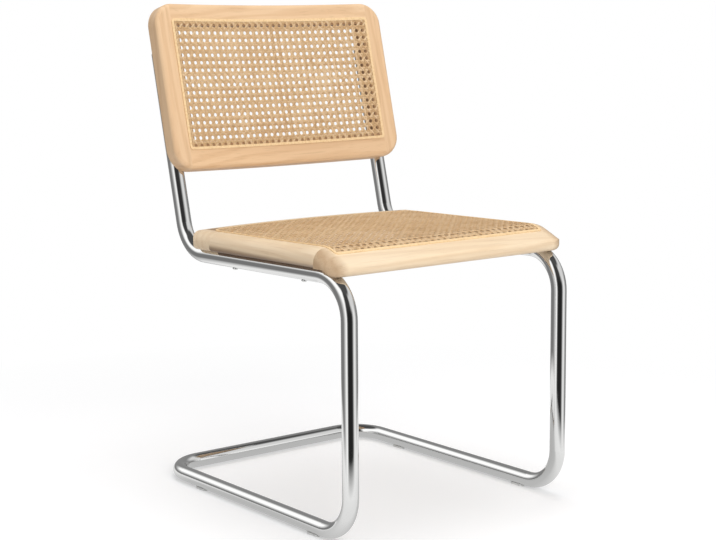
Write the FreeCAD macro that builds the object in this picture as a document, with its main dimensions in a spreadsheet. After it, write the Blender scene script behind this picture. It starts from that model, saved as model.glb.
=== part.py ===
import FreeCAD, Part
import math
import os
import re

import Sketcher

# A cantilever dining chair: a bent steel tube frame that carries a seat and a back of solid wood with
# cane panels. Lengths are in millimetres and angles in degrees. X runs across the chair, Y from the
# front to the back and Z up; the origin lies on the floor, in the middle of the chair's footprint.
SIZES = (
    # Tube frame
    ("tube_dia", 25.0, "outside diameter of the bent tube"),
    ("tube_wall", 2.0, "wall of the tube"),
    ("track", 434.4, "distance between the centre planes of the two side tubes"),
    ("bend_radius", 62.5, "centre-line radius of every bend"),
    ("glide_height", 2.0, "height of the tube above the floor"),
    ("rail_height", 404.3, "seat rail axis above the floor, at the foot of the front leg"),
    ("rail_reach", 425.1, "from the front leg to the crossing of seat rail and upright"),
    ("upright_reach", 334.0, "from that crossing up to the end of the tube"),
    ("base_reach", 505.4, "from the front leg to the rear tube on the floor"),
    ("seam_lead", 3.2, "straight tube between the rear floor bend and the seam"),
    ("leg_lean", 0.54, "backward lean of the front leg"),
    ("seat_slope", 0.943, "fall of the seat towards the back"),
    ("back_lean", 13.8, "backward lean of the uprights"),
    # Seat frame
    ("seat_width", 480.0, "width of the seat"),
    ("seat_thickness", 29.5, "wood thickness of the side and rear rails"),
    ("seat_front", 10.0, "front face of the seat, behind the front leg"),
    ("seat_rear", 410.0, "middle of the seat's rear edge"),
    ("seat_saddle", 1.0, "depth of the rails' saddles on the tubes"),
    ("front_drop", 10.8, "how much deeper the front rail is than the side rails"),
    ("front_nose_radius", 9.0, "rounding under the front rail"),
    ("front_under_round", 10.0, "rounding under the front rail's corners"),
    ("front_edge_radius", 8.0, "rounding between the front face and the slope"),
    ("front_corner_radius", 27.0, "front corners of the seat, seen from above"),
    ("rear_corner_radius", 11.0, "rear corners of the seat, seen from above"),
    ("rear_bow_radius", 1000.0, "bow of the rear edge, seen from above"),
    ("side_round", 20.5, "rounding along the sides of the seat's top"),
    ("rear_top_round", 3.0, "rounding of the seat's rear edge above"),
    ("under_round", 7.0, "rounding under the seat's sides and rear"),
    ("fall_angle", 25.6, "slope of the seat's front below the horizontal"),
    ("fall_start", 46.8, "from the front face to the corner of top and slope"),
    ("crown_radius", 58.0, "rounding between top and slope"),
    ("front_joint", 48.6, "from the front face to the joint with the side rails"),
    ("front_inner", 62.0, "depth of the front rail between the side rails"),
    ("rear_joint", 80.0, "from the middle of the rear edge forward to the joint with the side rails"),
    ("notch_inset", 27.0, "length of the notch under each end of the front rail"),
    ("notch_reach", 32.0, "from the front face to the notch's rounded end"),
    ("notch_radius", 20.0, "rounding of the notch's front end"),
    # Cane panels
    ("cane_side", 26.0, "seat's side to the edge of the cane"),
    ("cane_front", 27.0, "seat's front face to the edge of the cane"),
    ("cane_rear", 21.0, "seat's rear edge to the edge of the cane"),
    ("cane_lip", 12.0, "wood that runs on under the edge of the cane"),
    ("cane_thickness", 1.0, "thickness of the woven cane"),
    ("cane_corner", 2.0, "corner radius of the cane inside the spline"),
    ("cane_rear_corner", 28.0, "the same at the rear of the seat"),
    ("mesh_columns", 12, "openings across each panel, coarser than the weave's own"),
    ("seat_mesh_rows", 9, "rows of openings from the seat's front to its rear"),
    ("back_mesh_rows", 6, "rows of openings up the back"),
    ("mesh_bar", 14.0, "cane between two openings"),
    ("groove_width", 4.6, "width of the spline groove"),
    ("groove_depth", 4.5, "depth of the spline groove"),
    ("spline_rise", 1.3, "how far the spline stands above the wood"),
    ("spline_gap", 0.1, "gap round the spline in its groove"),
    # Back frame
    ("back_width", 480.0, "width of the back"),
    ("back_bottom", 132.0, "lower edge of the back, along the upright"),
    ("back_height", 280.0, "height of the back, along the upright"),
    ("back_thickness", 30.0, "wood thickness of the back"),
    ("back_curve", 2000.0, "radius of the back's hollow front"),
    ("back_corner", 38.0, "outer corners of the back"),
    ("back_front_round", 7.0, "rounding of the outer front edge"),
    ("back_rear_round", 4.0, "rounding of the outer rear edge"),
    ("back_saddle", 2.9, "depth of the back's saddles on the uprights"),
    ("saddle_runout", 2.0, "how far those saddles run on past the end plugs"),
    ("back_cane_side", 31.0, "back's side to the edge of the cane"),
    ("back_cane_top", 26.0, "back's top to the edge of the cane"),
    ("back_cane_bottom", 32.7, "back's bottom to the edge of the cane"),
    # Fastenings
    ("fit_gap", 0.2, "gap between the wood and the tubes"),
    ("dowel_dia", 8.0, "diameter of a dowel"),
    ("dowel_length", 36.0, "length of a dowel"),
    ("stile_dowel_depth", 11.0, "how far a back dowel enters its stile"),
    ("dowel_gap", 0.1, "gap round a dowel in its hole"),
    ("dowel_spacing", 16.0, "distance between the two dowels of a joint"),
    ("screw_dia", 4.5, "shank of a wood screw"),
    ("screw_grip", 17.0, "depth of a wood screw in the wood"),
    ("screw_head", 9.0, "head of a wood screw"),
    ("screw_head_rise", 2.8, "height of that head"),
    ("screw_gap", 0.15, "gap round a screw in its hole"),
    ("seat_screw_front", 110.0, "first seat screw, behind the front leg"),
    ("seat_screw_rear", 290.0, "second seat screw, behind the front leg"),
    ("back_screw_low", 200.0, "lower back screw, along the upright"),
    ("back_screw_high", 318.0, "upper back screw, along the upright"),
    ("spigot_gap", 0.2, "gap between a spigot or plug and the tube's bore"),
    ("spigot_length", 36.0, "length of the spigot in front of the seam"),
    ("spigot_turn", 16.0, "how far the spigot follows the rear bend"),
    ("grub_dia", 5.0, "grub screw that locks the spigot"),
    ("grub_length", 8.0, "length of the grub screw"),
    ("grub_lead", 16.0, "from the seam to the grub screw"),
    ("plug_depth", 14.0, "shank of an end plug in the tube"),
    ("plug_rise", 4.0, "dome of an end plug"),
    ("glide_length", 26.0, "length of a floor glide"),
    ("glide_width", 15.0, "width of a floor glide"),
    ("glide_wrap", 1.6, "how far a glide reaches up beside the tube"),
    ("glide_pin", 5.0, "pin of a glide in the tube's hole"),
    ("glide_pin_rise", 6.0, "height of that pin above the tube's underside"),
    ("front_glide_lead", 25.0, "from the front floor bend to the middle of the front glide"),
    ("rear_glide_lead", 12.0, "from the middle of the rear glide to the front end of the spigot"),
)

doc = FreeCAD.newDocument("CantileverChair")
sheet = doc.addObject("Spreadsheet::Sheet", "Sizes")
for row, (alias, number, meaning) in enumerate(SIZES, start=1):
    sheet.set("A%d" % row, alias)
    sheet.set("B%d" % row, str(number))
    sheet.set("C%d" % row, meaning)
    sheet.setAlias("B%d" % row, alias)
doc.recompute()

ALIAS = re.compile(r"\b(" + "|".join(alias for alias, _, _ in SIZES) + r")\b")


def bound(formula):
    """The formula with every size's name pointing at its cell."""
    return ALIAS.sub(r"Sizes.\1", formula)


def value(formula):
    """The number that a formula of sizes gives."""
    return float(sheet.evalExpression(bound(formula)))


# Places that several pieces share, as formulas of the sizes. In the side view Y is measured from the
# foot of the front leg.
TUBE_RADIUS = "(tube_dia / 2)"
BORE_RADIUS = "(tube_dia / 2 - tube_wall)"
BASE_Z = "(glide_height + tube_dia / 2)"
FRONT_Y = ("((rail_height - glide_height - tube_dia / 2) * tan(leg_lean)"
           " / (1 + tan(leg_lean) * tan(seat_slope)))")
FRONT_Z = "(rail_height - " + FRONT_Y + " * tan(seat_slope))"
CROSS_Y = "(rail_reach * cos(seat_slope))"
CROSS_Z = "(rail_height - rail_reach * sin(seat_slope))"
END_Y = "(" + CROSS_Y + " + upright_reach * sin(back_lean))"
END_Z = "(" + CROSS_Z + " + upright_reach * cos(back_lean))"
PAST_END = " + (upright_reach + plug_rise + saddle_runout)"
PAST_Y = "(" + CROSS_Y + PAST_END + " * sin(back_lean))"
PAST_Z = "(" + CROSS_Z + PAST_END + " * cos(back_lean))"
SEAM_Y = "(base_reach - bend_radius - seam_lead)"
FRONT_GLIDE = "(bend_radius + front_glide_lead)"
REAR_GLIDE = "(" + SEAM_Y + " - spigot_length - rear_glide_lead)"
SEAT_BOTTOM = "(tube_dia / 2 - seat_saddle)"
SEAT_TOP = "(tube_dia / 2 - seat_saddle + seat_thickness)"
BACK_TOP = "(back_bottom + back_height)"
REAR_CURVE = "(back_curve + back_thickness)"
CURVE_CENTRE = ("(back_saddle - tube_dia / 2"
                " - sqrt((back_curve + back_thickness)^2 - (track / 2)^2))")

# The footprint's middle: from the foremost point of the front bend to the rearmost of the rear tube
# and the back's upper edge.
foremost = value("bend_radius * tan(45 + leg_lean / 2) - bend_radius - tube_dia / 2")
top_edge = value(CROSS_Y + " + " + BACK_TOP + " * sin(back_lean) + (" + CURVE_CENTRE + " + "
                 + REAR_CURVE + ") * cos(back_lean)"
                 " - back_rear_round * (sin(back_lean) + cos(back_lean) - 1)")
rearmost = max(value("base_reach + tube_dia / 2"), top_edge)
middle = (foremost + rearmost) / 2

ACROSS = FreeCAD.Vector(1, 0, 0)
FRAME = FreeCAD.Placement(FreeCAD.Vector(0, -middle, 0), FreeCAD.Rotation())
SEAT = FreeCAD.Placement(FreeCAD.Vector(0, -middle, value("rail_height")),
                         FreeCAD.Rotation(ACROSS, -value("seat_slope")))
BACK = FreeCAD.Placement(FreeCAD.Vector(0, value(CROSS_Y) - middle, value(CROSS_Z)),
                         FreeCAD.Rotation(ACROSS, -value("back_lean")))

nodes = {}


def new_body(name, place):
    body = doc.addObject("PartDesign::Body", name)
    body.Placement = place
    return body


def new_sketch(body, name, role, offset=None):
    """A sketch on one of the body's own planes, moved along the plane's normal by a formula."""
    sketch = body.newObject("Sketcher::SketchObject", name)
    plane = [item for item in body.Origin.OriginFeatures if item.Role == role][0]
    sketch.AttachmentSupport = [(plane, "")]
    sketch.MapMode = "FlatFace"
    if offset is not None:
        sketch.setExpression("AttachmentOffset.Base.z", bound(offset))
    return sketch


def fix_point(sketch, geometry, point, x, y):
    """Hold a point of a sketch at two formulas, measured from the sketch's origin."""
    for kind, formula, axis in (("DistanceX", x, -2), ("DistanceY", y, -1)):
        if formula == "0":
            sketch.addConstraint(Sketcher.Constraint("PointOnObject", geometry, point, axis))
            continue
        index = sketch.addConstraint(
            Sketcher.Constraint(kind, -1, 1, geometry, point, value(formula)))
        sketch.setExpression("Constraints[%d]" % index, bound(formula))


def draw_path(sketch, corners, closed):
    """Straight runs between corners, each a pair of formulas and, where the corner is round, a radius.

    Each round corner is a tangent arc, and its sharp corner stays as a point for measuring.
    """
    count = len(corners)
    sharp = [FreeCAD.Vector(value(corner[0]), value(corner[1]), 0) for corner in corners]
    start = [None] * count
    finish = [None] * count
    arcs = {}
    for i, corner in enumerate(corners):
        if len(corner) < 3:
            start[i] = finish[i] = sharp[i]
            continue
        back = (sharp[i - 1] - sharp[i]).normalize()
        ahead = (sharp[(i + 1) % count] - sharp[i]).normalize()
        half = back.getAngle(ahead) / 2
        radius = value(corner[2])
        run = radius / math.tan(half)
        start[i] = sharp[i] + back * run
        finish[i] = sharp[i] + ahead * run
        centre = sharp[i] + (back + ahead).normalize() * (radius / math.sin(half))
        turns_left = (-back).cross(ahead).z > 0
        first, last = (start[i], finish[i]) if turns_left else (finish[i], start[i])
        from_angle = math.atan2(first.y - centre.y, first.x - centre.x)
        to_angle = math.atan2(last.y - centre.y, last.x - centre.x)
        circle = Part.Circle(centre, FreeCAD.Vector(0, 0, 1), radius)
        arcs[i] = (Part.ArcOfCircle(circle, from_angle, to_angle), turns_left)
    lines = []
    for i in range(count if closed else count - 1):
        ahead = (i + 1) % count
        lines.append(sketch.addGeometry(Part.LineSegment(finish[i], start[ahead]), False))
    for i, corner in enumerate(corners):
        before = lines[i - 1] if closed or i > 0 else None
        after = lines[i] if closed or i < count - 1 else None
        if i not in arcs:
            if before is not None and after is not None:
                sketch.addConstraint(Sketcher.Constraint("Coincident", before, 2, after, 1))
            end = (after, 1) if after is not None else (before, 2)
            fix_point(sketch, end[0], end[1], corner[0], corner[1])
            continue
        arc, turns_left = arcs[i]
        arc_id = sketch.addGeometry(arc, False)
        near, far = (1, 2) if turns_left else (2, 1)
        sketch.addConstraint(Sketcher.Constraint("Tangent", before, 2, arc_id, near))
        sketch.addConstraint(Sketcher.Constraint("Tangent", arc_id, far, after, 1))
        index = sketch.addConstraint(Sketcher.Constraint("Radius", arc_id, value(corner[2])))
        sketch.setExpression("Constraints[%d]" % index, bound(corner[2]))
        mark = sketch.addGeometry(Part.Point(sharp[i]), True)
        sketch.addConstraint(Sketcher.Constraint("PointOnObject", mark, 1, before))
        sketch.addConstraint(Sketcher.Constraint("PointOnObject", mark, 1, after))
        fix_point(sketch, mark, 1, corner[0], corner[1])


def draw_circle(sketch, radius, x="0", y="0"):
    centre = FreeCAD.Vector(value(x), value(y), 0)
    circle = sketch.addGeometry(
        Part.Circle(centre, FreeCAD.Vector(0, 0, 1), value(radius)), False)
    fix_point(sketch, circle, 3, x, y)
    index = sketch.addConstraint(Sketcher.Constraint("Radius", circle, value(radius)))
    sketch.setExpression("Constraints[%d]" % index, bound(radius))


def draw_strip(sketch, inner, outer, half_width):
    """A band between two arcs about the back's centre of curvature, cut off at both sides."""
    centre_y = value(CURVE_CENTRE)
    centre = FreeCAD.Vector(0, centre_y, 0)
    side = value(half_width)
    arcs = []
    for radius in (inner, outer):
        number = value(radius)
        reach = math.asin(side / number)
        circle = Part.Circle(centre, FreeCAD.Vector(0, 0, 1), number)
        arc = Part.ArcOfCircle(circle, math.pi / 2 - reach, math.pi / 2 + reach)
        arcs.append(sketch.addGeometry(arc, False))
        index = sketch.addConstraint(Sketcher.Constraint("Radius", arcs[-1], number))
        sketch.setExpression("Constraints[%d]" % index, bound(radius))
    points = [sketch.getPoint(arc, end) for end in (1, 2) for arc in arcs]
    right = sketch.addGeometry(Part.LineSegment(points[0], points[1]), False)
    left = sketch.addGeometry(Part.LineSegment(points[2], points[3]), False)
    for line, end in ((right, 1), (left, 2)):
        sketch.addConstraint(Sketcher.Constraint("Coincident", line, 1, arcs[0], end))
        sketch.addConstraint(Sketcher.Constraint("Coincident", line, 2, arcs[1], end))
    sketch.addConstraint(Sketcher.Constraint("Coincident", arcs[0], 3, arcs[1], 3))
    sketch.addConstraint(Sketcher.Constraint("PointOnObject", arcs[0], 3, -2))
    index = sketch.addConstraint(
        Sketcher.Constraint("DistanceY", -1, 1, arcs[0], 3, centre_y))
    sketch.setExpression("Constraints[%d]" % index, bound(CURVE_CENTRE))
    for arc in arcs:
        for end, sign in ((1, ""), (2, "-")):
            formula = sign + half_width
            index = sketch.addConstraint(
                Sketcher.Constraint("DistanceX", -1, 1, arc, end, value(formula)))
            sketch.setExpression("Constraints[%d]" % index, bound(formula))


def pad(body, sketch, length, both_ways=False):
    feature = body.newObject("PartDesign::Pad", sketch.Name + "_pad")
    feature.Profile = sketch
    feature.Midplane = both_ways
    feature.setExpression("Length", bound(length))
    return feature


def sweep(name, place, role, offset, corners, radius, bore=None):
    """A round bar or tube along straight runs and tangent bends."""
    body = new_body(name, place)
    path = new_sketch(body, name + "_path", role, offset)
    draw_path(path, corners, False)
    doc.recompute()
    profile = body.newObject("Sketcher::SketchObject", name + "_section")
    profile.AttachmentSupport = [(path, "Edge1")]
    profile.MapMode = "NormalToEdge"
    profile.MapPathParameter = 0.0
    draw_circle(profile, radius)
    if bore is not None:
        draw_circle(profile, bore)
    pipe = body.newObject("PartDesign::AdditivePipe", name + "_sweep")
    pipe.Profile = profile
    pipe.Spine = (path, ["Edge%d" % (i + 1) for i in range(len(path.Shape.Edges))])
    pipe.Transition = "Transformed"
    doc.recompute()
    return body


def cylinder(name, place, radius, length, point, direction):
    """A round pin or hole from a point along a direction, both given in a frame of their own."""
    item = doc.addObject("Part::Cylinder", name)
    item.setExpression("Radius", bound(radius))
    item.setExpression("Height", bound(length))
    turn = FreeCAD.Rotation(FreeCAD.Vector(0, 0, 1), direction)
    item.Placement = place.multiply(FreeCAD.Placement(point, turn))
    return item


def block(name, place, corner, size):
    """A box whose corner and size are formulas in a frame of its own."""
    item = doc.addObject("Part::Box", name)
    for side, formula in zip(("Length", "Width", "Height"), size):
        item.setExpression(side, bound(formula))
    point = FreeCAD.Vector(*[value(formula) for formula in corner])
    item.Placement = place.multiply(FreeCAD.Placement(point, FreeCAD.Rotation()))
    return item


def fuse(name, items):
    item = doc.addObject("Part::MultiFuse", name)
    item.Shapes = items
    return item


def common(name, items):
    item = doc.addObject("Part::MultiCommon", name)
    item.Shapes = items
    return item


def cut(name, base, tool):
    item = doc.addObject("Part::Cut", name)
    item.Base = base
    item.Tool = tool
    return item


def group(name, items):
    item = doc.addObject("Part::Compound", name)
    item.Links = items
    return item


def keep(name, item):
    item.Label = name
    nodes[name] = item
    return item


SIDES = (("left", -1), ("right", 1))
UP = FreeCAD.Vector(0, 0, 1)
BACKWARD = FreeCAD.Vector(0, 1, 0)
half_track = value("track / 2")

# The tube frame. Each side tube runs from its upright's top over the seat rail and the front leg to
# the seam in the runner; the rear tube closes the base behind the seams.
SIDE_PATH = (
    (END_Y, END_Z),
    (CROSS_Y, CROSS_Z, "bend_radius"),
    (FRONT_Y, FRONT_Z, "bend_radius"),
    ("0", BASE_Z, "bend_radius"),
    (SEAM_Y, BASE_Z),
)
REAR_PATH = (
    ("-track / 2", SEAM_Y),
    ("-track / 2", "base_reach", "bend_radius"),
    ("track / 2", "base_reach", "bend_radius"),
    ("track / 2", SEAM_Y),
)

screw_reach = "(tube_dia + screw_grip)"
seat_screw_spots = []
back_screw_spots = []
for side, sign in SIDES:
    for spot in ("seat_screw_front", "seat_screw_rear"):
        seat_screw_spots.append(FreeCAD.Vector(sign * half_track, value(spot), -value(TUBE_RADIUS)))
    for spot in ("back_screw_low", "back_screw_high"):
        back_screw_spots.append(FreeCAD.Vector(sign * half_track, value(TUBE_RADIUS), value(spot)))
glide_spots = [FreeCAD.Vector(sign * half_track, value(spot), value("glide_height"))
               for side, sign in SIDES for spot in (FRONT_GLIDE, REAR_GLIDE)]
grub_spots = [FreeCAD.Vector(sign * half_track, value(SEAM_Y + " - grub_lead"), value("glide_height"))
              for side, sign in SIDES]

seat_holes = [cylinder("seat_screw_hole_%d" % i, SEAT, "screw_dia / 2 + screw_gap",
                       "tube_dia + screw_grip + screw_gap", point, UP)
              for i, point in enumerate(seat_screw_spots)]
back_holes = [cylinder("back_screw_hole_%d" % i, BACK, "screw_dia / 2 + screw_gap",
                       "tube_dia + screw_grip + screw_gap", point, -BACKWARD)
              for i, point in enumerate(back_screw_spots)]
glide_holes = [cylinder("glide_hole_%d" % i, FRAME, "glide_pin / 2 + screw_gap",
                        "glide_pin_rise + screw_gap", point, UP)
               for i, point in enumerate(glide_spots)]
grub_holes = [cylinder("grub_hole_%d" % i, FRAME, "grub_dia / 2 + screw_gap",
                       "grub_length + screw_gap", point, UP)
              for i, point in enumerate(grub_spots)]
tube_holes = fuse("tube_holes", seat_holes + back_holes + glide_holes + grub_holes)

clearances = []
for side, sign in SIDES:
    offset = "track / 2" if sign > 0 else "-track / 2"
    tube = sweep(side + "_tube", FRAME, "YZ_Plane", offset, SIDE_PATH, TUBE_RADIUS, BORE_RADIUS)
    keep(side + "_side_tube", cut(side + "_drilled_tube", tube, tube_holes))
    clearances.append(sweep(side + "_clearance", FRAME, "YZ_Plane", offset,
                            ((PAST_Y, PAST_Z),) + SIDE_PATH[1:], TUBE_RADIUS + " + fit_gap"))
rear_tube = sweep("rear_tube", FRAME, "XY_Plane", BASE_Z, REAR_PATH, TUBE_RADIUS, BORE_RADIUS)
keep("rear_base_tube", rear_tube)

# Bent spigots inside the two seams, each locked by a grub screw from below.
spigots = []
for side, sign in SIDES:
    x = "track / 2" if sign > 0 else "-track / 2"
    inward = " - " if sign > 0 else " + "
    bend_y = "base_reach - bend_radius"
    tip_run = " * bend_radius * tan(spigot_turn / 2)"
    path = (
        (x, SEAM_Y + " - spigot_length"),
        (x, bend_y + " + 1" + tip_run, "bend_radius"),
        (x + inward + "1.2 * sin(spigot_turn)" + tip_run,
         bend_y + " + (1 + 1.2 * cos(spigot_turn))" + tip_run),
    )
    spigots.append(sweep(side + "_spigot", FRAME, "XY_Plane", BASE_Z, path,
                         BORE_RADIUS + " - spigot_gap"))
spigot_holes = fuse("spigot_holes", grub_holes)
keep("base_joint_spigots", cut("drilled_spigots", group("spigot_pair", spigots), spigot_holes))
keep("base_joint_screws", group("grub_screws", [
    cylinder("grub_screw_%d" % i, FRAME, "grub_dia / 2", "grub_length", point, UP)
    for i, point in enumerate(grub_spots)]))


def turned(name, place, outline):
    """A piece turned about the upright axis of its own frame, from half of its outline."""
    body = new_body(name, place)
    sketch = new_sketch(body, name + "_outline", "XZ_Plane")
    draw_path(sketch, outline, True)
    feature = body.newObject("PartDesign::Revolution", name + "_turned")
    feature.Profile = sketch
    feature.ReferenceAxis = (sketch, ["V_Axis"])
    feature.Angle = 360
    return body


# Domed plugs in the open ends of the uprights.
PLUG = (
    ("0", "-plug_depth"),
    (BORE_RADIUS + " - spigot_gap", "-plug_depth"),
    (BORE_RADIUS + " - spigot_gap", "0"),
    (TUBE_RADIUS, "0"),
    (TUBE_RADIUS, "plug_rise", "plug_rise * 0.9"),
    ("0", "plug_rise"),
)
plugs = []
for side, sign in SIDES:
    top = BACK.multiply(FreeCAD.Placement(
        FreeCAD.Vector(sign * half_track, 0, value("upright_reach")), FreeCAD.Rotation()))
    plugs.append(turned(side + "_plug", top, PLUG))
keep("tube_end_plugs", group("plug_pair", plugs))

# Low saddle glides with a pin in the runner.
floor_tubes = fuse("floor_tubes", [
    cylinder("runner_clearance_%d" % i, FRAME, TUBE_RADIUS + " + fit_gap", "base_reach",
             FreeCAD.Vector(sign * half_track, 0, value(BASE_Z)), BACKWARD)
    for i, (side, sign) in enumerate(SIDES)])
glides = []
for i, point in enumerate(glide_spots):
    foot = FreeCAD.Placement(FreeCAD.Vector(point.x, point.y, 0), FreeCAD.Rotation())
    pad_body = new_body("glide_%d" % i, FRAME.multiply(foot))
    outline = new_sketch(pad_body, "glide_outline_%d" % i, "XY_Plane")
    draw_path(outline, (
        ("-glide_width / 2", "-glide_length / 2", "glide_width * 0.3"),
        ("glide_width / 2", "-glide_length / 2", "glide_width * 0.3"),
        ("glide_width / 2", "glide_length / 2", "glide_width * 0.3"),
        ("-glide_width / 2", "glide_length / 2", "glide_width * 0.3"),
    ), True)
    pad(pad_body, outline, "glide_height + glide_wrap")
    saddle = cut("glide_saddle_%d" % i, pad_body, floor_tubes)
    pin = cylinder("glide_pin_%d" % i, FRAME, "glide_pin / 2", "glide_height / 2 + glide_pin_rise",
                   FreeCAD.Vector(point.x, point.y, value("glide_height / 2")), UP)
    glides.append(fuse("glide_solid_%d" % i, [saddle, pin]))
keep("floor_glides", group("glide_set", glides))


def wood_screw(name, place):
    """A round-headed wood screw that points up its own frame, with its seat at the frame's origin."""
    return turned(name, place, (
        ("0", "-screw_head_rise"),
        ("screw_head / 2", "-screw_head_rise", "screw_head_rise * 0.8"),
        ("screw_head / 2", "0"),
        ("screw_dia / 2", "0"),
        ("screw_dia / 2", screw_reach + " - screw_dia"),
        ("0", screw_reach),
    ))


seat_screws = [wood_screw("seat_screw_%d" % i, SEAT.multiply(
    FreeCAD.Placement(point, FreeCAD.Rotation()))) for i, point in enumerate(seat_screw_spots)]
keep("seat_screws", group("seat_screw_set", seat_screws))
forward = FreeCAD.Rotation(UP, -BACKWARD)
back_screws = [wood_screw("back_screw_%d" % i, BACK.multiply(FreeCAD.Placement(point, forward)))
               for i, point in enumerate(back_screw_spots)]
keep("back_screws", group("back_screw_set", back_screws))

# The seat's wood as one form: the side view's profile and the outline from above, each run out
# straight, and the rounded cross section, which follows the top's fall at the front, have the seat in
# common. Its frame has Y along the seat rails and Z square to them, both from the rail's axis over the
# foot of the front leg.
FALL_Y = "(seat_front + fall_start)"
FRONT_BOTTOM = "(" + SEAT_BOTTOM + " - front_drop)"
profile_body = new_body("seat_profile", SEAT)
profile = new_sketch(profile_body, "seat_profile_outline", "YZ_Plane")
draw_path(profile, (
    ("seat_front", FRONT_BOTTOM, "front_nose_radius"),
    ("seat_front", SEAT_TOP + " - fall_start * tan(fall_angle)", "front_edge_radius"),
    (FALL_Y, SEAT_TOP, "crown_radius"),
    ("seat_rear + seat_front", SEAT_TOP),
    ("seat_rear + seat_front", SEAT_BOTTOM),
    ("seat_front + front_inner", SEAT_BOTTOM),
    ("seat_front + front_inner", FRONT_BOTTOM),
), True)
pad(profile_body, profile, "seat_width + 2 * seat_front", True)


def draw_seat_plan(sketch, front, half_width, bow_radius):
    """The seat from above, or a panel in it: straight front and sides and a bowed rear."""
    half = value(half_width)
    front_y = value(front)
    bow = value(bow_radius)
    centre_y = value("seat_rear - rear_bow_radius")
    corner_y = centre_y + math.sqrt(bow ** 2 - half ** 2)
    points = (FreeCAD.Vector(-half, corner_y, 0), FreeCAD.Vector(-half, front_y, 0),
              FreeCAD.Vector(half, front_y, 0), FreeCAD.Vector(half, corner_y, 0))
    lines = [sketch.addGeometry(Part.LineSegment(points[i], points[i + 1]), False) for i in range(3)]
    reach = math.asin(half / bow)
    circle = Part.Circle(FreeCAD.Vector(0, centre_y, 0), UP, bow)
    arc = sketch.addGeometry(
        Part.ArcOfCircle(circle, math.pi / 2 - reach, math.pi / 2 + reach), False)
    for before, after in ((lines[0], lines[1]), (lines[1], lines[2])):
        sketch.addConstraint(Sketcher.Constraint("Coincident", before, 2, after, 1))
    sketch.addConstraint(Sketcher.Constraint("Coincident", lines[2], 2, arc, 1))
    sketch.addConstraint(Sketcher.Constraint("Coincident", arc, 2, lines[0], 1))
    fix_point(sketch, lines[0], 2, "-" + half_width, front)
    fix_point(sketch, lines[1], 2, half_width, front)
    sketch.addConstraint(Sketcher.Constraint("Vertical", lines[0]))
    sketch.addConstraint(Sketcher.Constraint("Vertical", lines[2]))
    fix_point(sketch, arc, 3, "0", "seat_rear - rear_bow_radius")
    index = sketch.addConstraint(Sketcher.Constraint("Radius", arc, bow))
    sketch.setExpression("Constraints[%d]" % index, bound(bow_radius))


def fillet(body, name, radius, choose):
    """Round those edges of the body that the given test picks."""
    doc.recompute()
    base = body.Tip
    edges = ["Edge%d" % (i + 1) for i, edge in enumerate(base.Shape.Edges) if choose(edge)]
    feature = body.newObject("PartDesign::Fillet", name)
    feature.Base = (base, edges)
    feature.setExpression("Radius", bound(radius))
    return feature


def runs_along(edge, axis):
    """Whether a straight edge runs along an axis."""
    if len(edge.Vertexes) < 2 or edge.Curve.TypeId != "Part::GeomLine":
        return False
    span = edge.Vertexes[1].Point - edge.Vertexes[0].Point
    return abs(abs(span.dot(axis)) - span.Length) < 1e-6


def level_at(edge, height):
    """Whether an edge lies at a height in its body's own frame."""
    return all(abs(vertex.Z - value(height)) < 1e-4 for vertex in edge.Vertexes)


def seat_plan(name, outline, corners, low, height):
    """The seat's outline from above, or a panel's, as a block with round corners."""
    body = new_body(name, SEAT)
    sketch = new_sketch(body, name + "_outline", "XY_Plane", low)
    draw_seat_plan(sketch, *outline)
    pad(body, sketch, height)
    middle_y = value("seat_rear / 2")
    side_x = value(outline[1])
    fillet(body, name + "_front_corners", corners[0],
           lambda edge: runs_along(edge, UP) and edge.Vertexes[0].Y < middle_y)
    fillet(body, name + "_rear_corners", corners[1],
           lambda edge: (runs_along(edge, UP) and edge.Vertexes[0].Y > middle_y
                         and abs(abs(edge.Vertexes[0].X) - side_x) < 0.01))
    return body


SEAT_OUTLINE = ("seat_front", "(seat_width / 2)", "rear_bow_radius")
SEAT_CORNERS = ("front_corner_radius", "rear_corner_radius")
outline_body = seat_plan("seat_outline", SEAT_OUTLINE, SEAT_CORNERS, FRONT_BOTTOM,
                         "seat_thickness + front_drop")
fillet(outline_body, "front_under_edge", "front_under_round",
       lambda edge: level_at(edge, FRONT_BOTTOM))
rail_body = seat_plan("rail_outline", SEAT_OUTLINE, SEAT_CORNERS, SEAT_BOTTOM, "seat_thickness")
fillet(rail_body, "rail_under_edge", "under_round", lambda edge: level_at(edge, SEAT_BOTTOM))
fillet(rail_body, "rail_top_edge", "rear_top_round", lambda edge: level_at(edge, SEAT_TOP))

section_body = new_body("seat_section", SEAT)
section_path = new_sketch(section_body, "seat_section_path", "YZ_Plane")
draw_path(section_path, (
    ("seat_rear + seat_front", SEAT_TOP),
    (FALL_Y, SEAT_TOP, "crown_radius"),
    ("-seat_front", SEAT_TOP + " - (" + FALL_Y + " + seat_front) * tan(fall_angle)"),
), False)
section = new_sketch(section_body, "seat_section_outline", "XZ_Plane", "-seat_rear - seat_front")
section_low = SEAT_BOTTOM + " - 1.5 * front_drop"
draw_path(section, (
    ("-seat_width / 2", section_low),
    ("seat_width / 2", section_low),
    ("seat_width / 2", SEAT_TOP, "side_round"),
    ("-seat_width / 2", SEAT_TOP, "side_round"),
), True)
doc.recompute()
section_pipe = section_body.newObject("PartDesign::AdditivePipe", "seat_section_sweep")
section_pipe.Profile = section
section_pipe.Spine = (section_path, ["Edge%d" % (i + 1)
                                     for i in range(len(section_path.Shape.Edges))])
section_pipe.Transition = "Transformed"
doc.recompute()
seat_form = common("seat_form", [profile_body, outline_body, section_body])

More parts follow.
